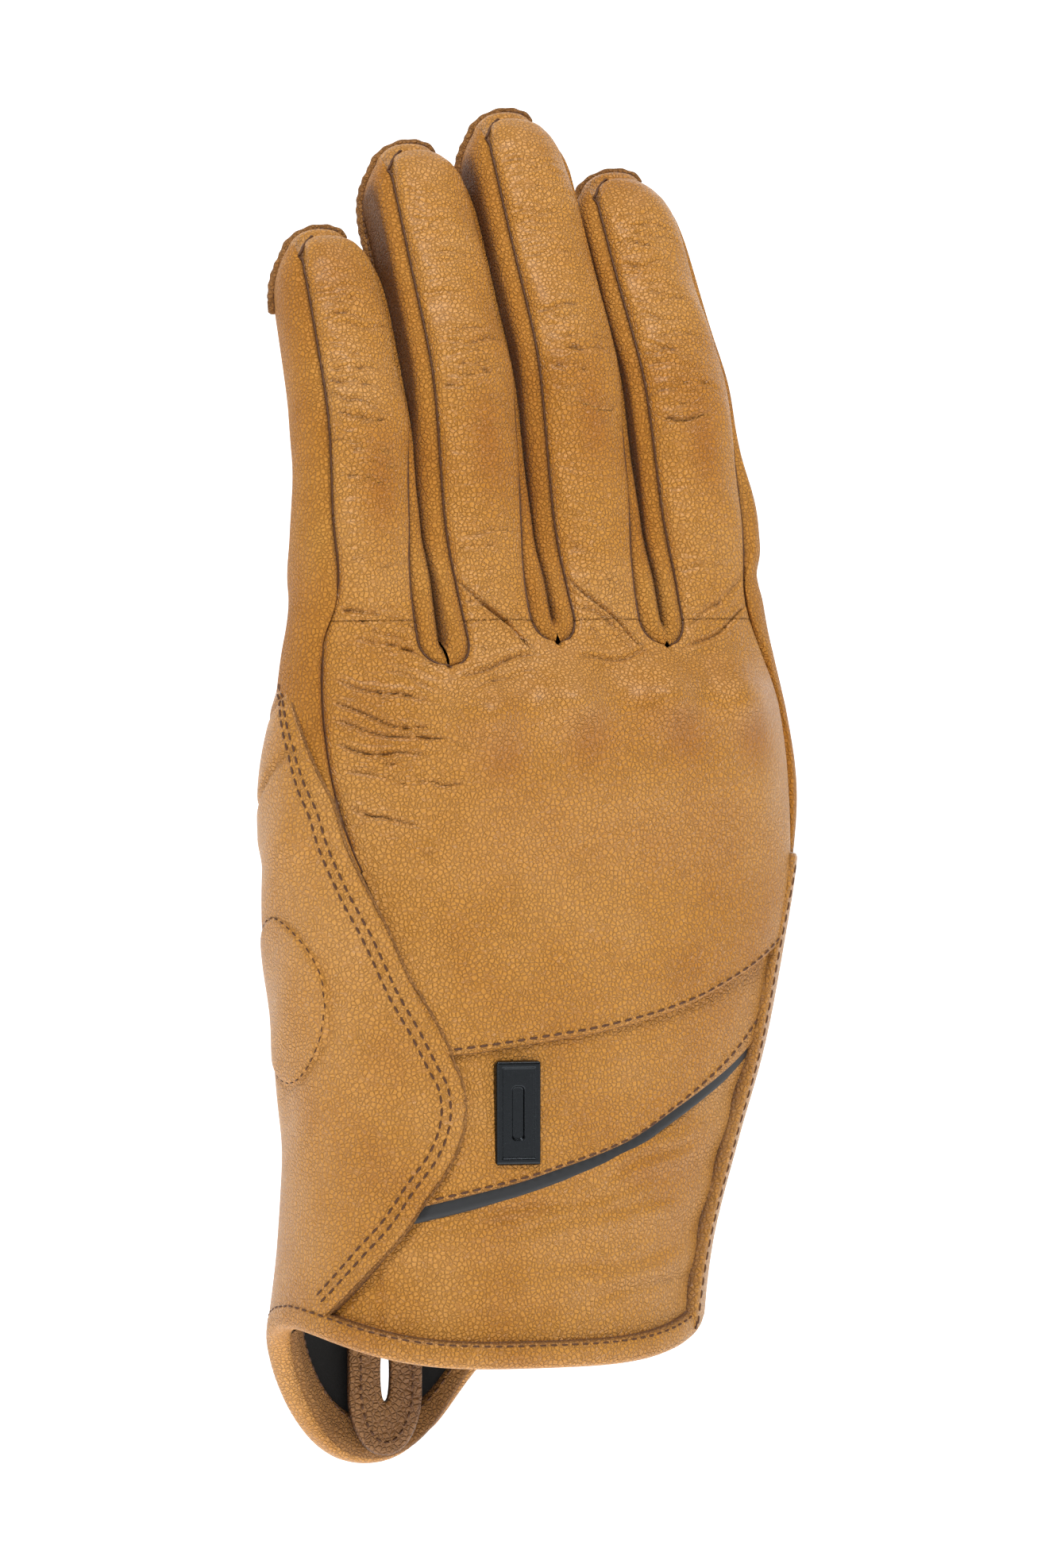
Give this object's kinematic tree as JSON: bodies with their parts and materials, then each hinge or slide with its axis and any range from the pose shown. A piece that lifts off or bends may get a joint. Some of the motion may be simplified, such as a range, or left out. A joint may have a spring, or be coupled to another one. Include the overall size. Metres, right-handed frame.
{
  "type": "leather driving glove",
  "caption": "Left-hand short-cuff leather glove with a knuckle guard bulge, side-walled fingers, wrist band panel, rolled cuff edge and pull tab.",
  "frame": {"origin": "centre of the cuff opening, level with the back edge of the cuff", "axes": "+Z from the cuff towards the fingertips, -Y out of the back of the hand, +X towards the thumb side"},
  "size_m": [0.1111, 0.1063, 0.2691],
  "materials": {
    "tan_leather": "soft grained aniline leather",
    "tab_leather": "smooth edge-finished leather",
    "lining_knit": "black knit",
    "foam": "soft foam",
    "guard_plastic": "moulded",
    "badge_metal": "gunmetal plate",
    "reflective_film": "grey glass-bead film",
    "hook_loop": "hook and loop"
  },
  "bodies": {
    "hand": {"hand_back_panel": "tan_leather", "knuckle_guard": "guard_plastic", "knuckle_foam": "foam", "wrist_band": "tan_leather", "badge": "badge_metal", "reflective_strip": "reflective_film", "cuff_back_panel": "tan_leather", "side_palm_panel": "tan_leather", "palm_panel": "tan_leather", "quilted_patch": "tan_leather", "heel_patch": "tan_leather", "side_seam_strip": "tan_leather", "cuff_binding": "tan_leather", "hand_lining": "lining_knit", "pull_tab": "tab_leather", "strap_loop_patch": "hook_loop", "thumb_root_gusset": "tan_leather", "crotch_gussets": "tan_leather", "pinky_root": "tan_leather", "pinky_knuckle_fold": "tan_leather", "ring_root": "tan_leather", "ring_knuckle_fold": "tan_leather", "middle_root": "tan_leather", "middle_knuckle_fold": "tan_leather", "index_root": "tan_leather", "index_knuckle_fold": "tan_leather"},
    "pinky_lower": {"pinky_lower_back": "tan_leather", "pinky_lower_palm": "tan_leather", "pinky_lower_sides": "tan_leather", "pinky_middle_fold": "tan_leather"},
    "pinky_upper": {"pinky_upper_back": "tan_leather", "pinky_upper_palm": "tan_leather", "pinky_upper_sides": "tan_leather"},
    "ring_lower": {"ring_lower_back": "tan_leather", "ring_lower_palm": "tan_leather", "ring_lower_sides": "tan_leather", "ring_middle_fold": "tan_leather"},
    "ring_upper": {"ring_upper_back": "tan_leather", "ring_upper_palm": "tan_leather", "ring_upper_sides": "tan_leather"},
    "middle_lower": {"middle_lower_back": "tan_leather", "middle_lower_palm": "tan_leather", "middle_lower_sides": "tan_leather", "middle_middle_fold": "tan_leather"},
    "middle_upper": {"middle_upper_back": "tan_leather", "middle_upper_palm": "tan_leather", "middle_upper_sides": "tan_leather"},
    "index_lower": {"index_lower_back": "tan_leather", "index_lower_palm": "tan_leather", "index_lower_sides": "tan_leather", "index_middle_fold": "tan_leather"},
    "index_upper": {"index_upper_back": "tan_leather", "index_upper_palm": "tan_leather", "index_upper_sides": "tan_leather"},
    "thumb_lower": {"thumb_lower_back": "tan_leather", "thumb_lower_palm": "tan_leather"},
    "thumb_upper": {"thumb_upper_back": "tan_leather", "thumb_upper_palm": "tan_leather"},
    "strap": {"wrist_strap": "tan_leather", "strap_hook_patch": "hook_loop"}
  },
  "joints": [
    {"name": "pinky_knuckle", "type": "hinge", "parent": "hand", "child": "pinky_lower", "pos_m": [-0.0274, 0.004, 0.15], "axis": [-1, 0, 0], "range_deg": [-10, 60], "stiffness_Nm_per_rad": 0.1, "deforming": ["pinky_knuckle_fold"]},
    {"name": "pinky_middle_joint", "type": "hinge", "parent": "pinky_lower", "child": "pinky_upper", "pos_m": [-0.0274, 0.00956, 0.18151], "axis": [-1, 0, 0], "range_deg": [-15, 65], "stiffness_Nm_per_rad": 0.08, "deforming": ["pinky_middle_fold"]},
    {"name": "ring_knuckle", "type": "hinge", "parent": "hand", "child": "ring_lower", "pos_m": [-0.0032, 0.004, 0.15], "axis": [-1, 0, 0], "range_deg": [-10, 60], "stiffness_Nm_per_rad": 0.1, "deforming": ["ring_knuckle_fold"]},
    {"name": "ring_middle_joint", "type": "hinge", "parent": "ring_lower", "child": "ring_upper", "pos_m": [-0.0032, 0.01112, 0.19038], "axis": [-1, 0, 0], "range_deg": [-15, 65], "stiffness_Nm_per_rad": 0.08, "deforming": ["ring_middle_fold"]},
    {"name": "middle_knuckle", "type": "hinge", "parent": "hand", "child": "middle_lower", "pos_m": [0.0204, 0.004, 0.15], "axis": [-1, 0, 0], "range_deg": [-10, 60], "stiffness_Nm_per_rad": 0.1, "deforming": ["middle_knuckle_fold"]},
    {"name": "middle_middle_joint", "type": "hinge", "parent": "middle_lower", "child": "middle_upper", "pos_m": [0.0204, 0.01181, 0.19432], "axis": [-1, 0, 0], "range_deg": [-15, 65], "stiffness_Nm_per_rad": 0.08, "deforming": ["middle_middle_fold"]},
    {"name": "index_knuckle", "type": "hinge", "parent": "hand", "child": "index_lower", "pos_m": [0.0446, 0.004, 0.15], "axis": [-1, 0, 0], "range_deg": [-10, 60], "stiffness_Nm_per_rad": 0.1, "deforming": ["index_knuckle_fold"]},
    {"name": "index_middle_joint", "type": "hinge", "parent": "index_lower", "child": "index_upper", "pos_m": [0.0446, 0.01095, 0.18939], "axis": [-1, 0, 0], "range_deg": [-15, 65], "stiffness_Nm_per_rad": 0.08, "deforming": ["index_middle_fold"]},
    {"name": "thumb_base", "type": "hinge", "parent": "hand", "child": "thumb_lower", "pos_m": [0.034, 0.03204, 0.08538], "axis": [-1, 0, 0], "range_deg": [-10, 30], "stiffness_Nm_per_rad": 0.12},
    {"name": "thumb_middle_joint", "type": "hinge", "parent": "thumb_lower", "child": "thumb_upper", "pos_m": [0.034, 0.0481, 0.10321], "axis": [0, -0.7431, 0.6691], "range_deg": [0, 50], "stiffness_Nm_per_rad": 0.1},
    {"name": "strap_peel", "type": "hinge", "parent": "hand", "child": "strap", "pos_m": [-0.008, 0.028, 0.0425], "axis": [0, 0, 1], "range_deg": [0, 100], "stiffness_Nm_per_rad": 0.02}
  ]
}
